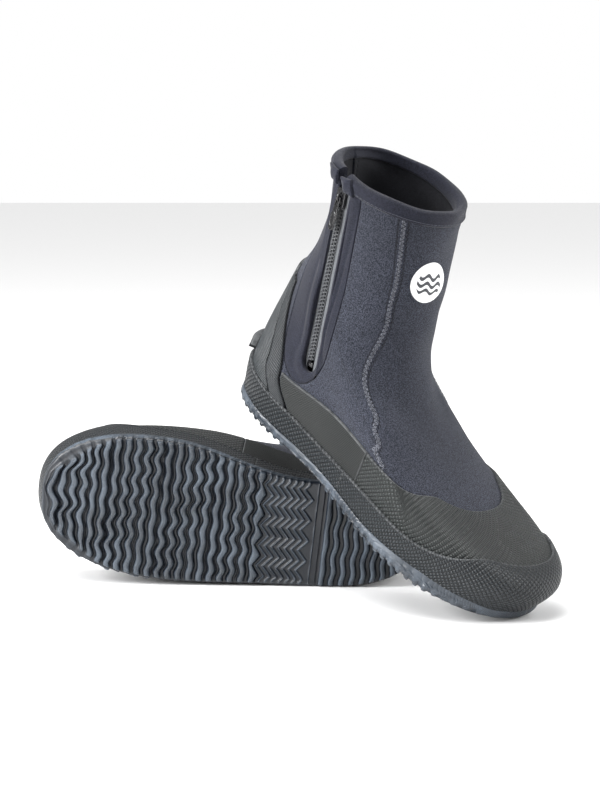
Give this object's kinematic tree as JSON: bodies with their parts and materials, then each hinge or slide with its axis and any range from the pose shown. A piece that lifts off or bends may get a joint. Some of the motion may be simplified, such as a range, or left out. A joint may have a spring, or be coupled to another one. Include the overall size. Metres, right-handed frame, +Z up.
{
  "type": "neoprene boots",
  "caption": "Pair of ankle-high neoprene water sports boots with a zip on the inner side, rubber toe cap, heel counter and ribbed sole; one boot lies on its side and the other leans on it",
  "frame": {"origin": "on the ground under the middle of the pair's bounding box", "axes": "+Z up; +X from the lying boot's toe towards its heel; +Y away from the sole that the lying boot shows"},
  "size_m": [0.3784, 0.338, 0.323],
  "materials": {
    "knit": "charcoal blue heathered knit laminated on neoprene",
    "smooth_knit": "smooth dark navy stretch knit",
    "rubber": "semi-gloss grey-black moulded rubber with a fine diamond and rib texture",
    "sole_rubber": "blue-black moulded rubber",
    "board": "pressed fibre board",
    "foam": "dark knit-covered foam",
    "zip_tape": "grey twill zip tape",
    "zip_plastic": "black moulded acetal",
    "print": "white transfer print"
  },
  "bodies": {
    "right_boot": {"right_outsole": "sole_rubber", "right_insole_board": "board", "right_footbed": "foam", "right_front_panel": "knit", "right_inner_quarter": "knit", "right_outer_quarter": "knit", "right_zip_surround": "smooth_knit", "right_zip_baffle": "smooth_knit", "right_zip_tape_front": "zip_tape", "right_zip_tape_rear": "zip_tape", "right_zip_teeth_front": "zip_plastic", "right_zip_teeth_rear": "zip_plastic", "right_zip_top_stop_front": "zip_plastic", "right_zip_top_stop_rear": "zip_plastic", "right_zip_bottom_stop": "zip_plastic", "right_collar_binding": "smooth_knit", "right_binding_tab_front": "smooth_knit", "right_binding_tab_rear": "smooth_knit", "right_toe_cap": "rubber", "right_inner_rand": "rubber", "right_outer_rand": "rubber", "right_heel_counter": "rubber", "right_inner_heel_stay": "rubber", "right_outer_heel_stay": "rubber", "right_foxing_front": "rubber", "right_foxing_heel": "rubber", "right_fin_strap_stop": "sole_rubber", "right_printed_mark": "print"},
    "right_slider": {"right_zip_slider": "zip_plastic"},
    "right_pull": {"right_zip_pull": "zip_plastic"},
    "left_boot": {"left_outsole": "sole_rubber", "left_insole_board": "board", "left_footbed": "foam", "left_front_panel": "knit", "left_inner_quarter": "knit", "left_outer_quarter": "knit", "left_zip_surround": "smooth_knit", "left_zip_baffle": "smooth_knit", "left_zip_tape_front": "zip_tape", "left_zip_tape_rear": "zip_tape", "left_zip_teeth_front": "zip_plastic", "left_zip_teeth_rear": "zip_plastic", "left_zip_top_stop_front": "zip_plastic", "left_zip_top_stop_rear": "zip_plastic", "left_zip_bottom_stop": "zip_plastic", "left_collar_binding": "smooth_knit", "left_binding_tab_front": "smooth_knit", "left_binding_tab_rear": "smooth_knit", "left_toe_cap": "rubber", "left_inner_rand": "rubber", "left_outer_rand": "rubber", "left_heel_counter": "rubber", "left_inner_heel_stay": "rubber", "left_outer_heel_stay": "rubber", "left_foxing_front": "rubber", "left_foxing_heel": "rubber", "left_fin_strap_stop": "sole_rubber", "left_printed_mark": "print"},
    "left_slider": {"left_zip_slider": "zip_plastic"},
    "left_pull": {"left_zip_pull": "zip_plastic"}
  },
  "joints": [
    {"name": "left_boot_lift", "type": "slide", "parent": "right_boot", "child": "left_boot", "axis": [0, 0, 1], "range_m": [0, 0.25]},
    {"name": "right_zip_slide", "type": "slide", "parent": "right_boot", "child": "right_slider", "axis": [-0.345, -0.9354, -0.0777], "range_m": [0, 0.112], "deforming": ["right_zip_teeth_front", "right_zip_teeth_rear"]},
    {"name": "right_pull_hinge", "type": "hinge", "parent": "right_slider", "child": "right_pull", "pos_m": [0.08948, 0.13651, 0.0914], "axis": [-0.8456, 0.2738, 0.4583], "range_deg": [0, 150]},
    {"name": "left_zip_slide", "type": "slide", "parent": "left_boot", "child": "left_slider", "axis": [-0.179, 0.2579, -0.9494], "range_m": [0, 0.112], "deforming": ["left_zip_teeth_front", "left_zip_teeth_rear"]},
    {"name": "left_pull_hinge", "type": "hinge", "parent": "left_slider", "child": "left_pull", "pos_m": [0.03313, -0.1078, 0.28947], "axis": [-0.506, 0.8035, 0.3137], "range_deg": [0, 150]}
  ]
}
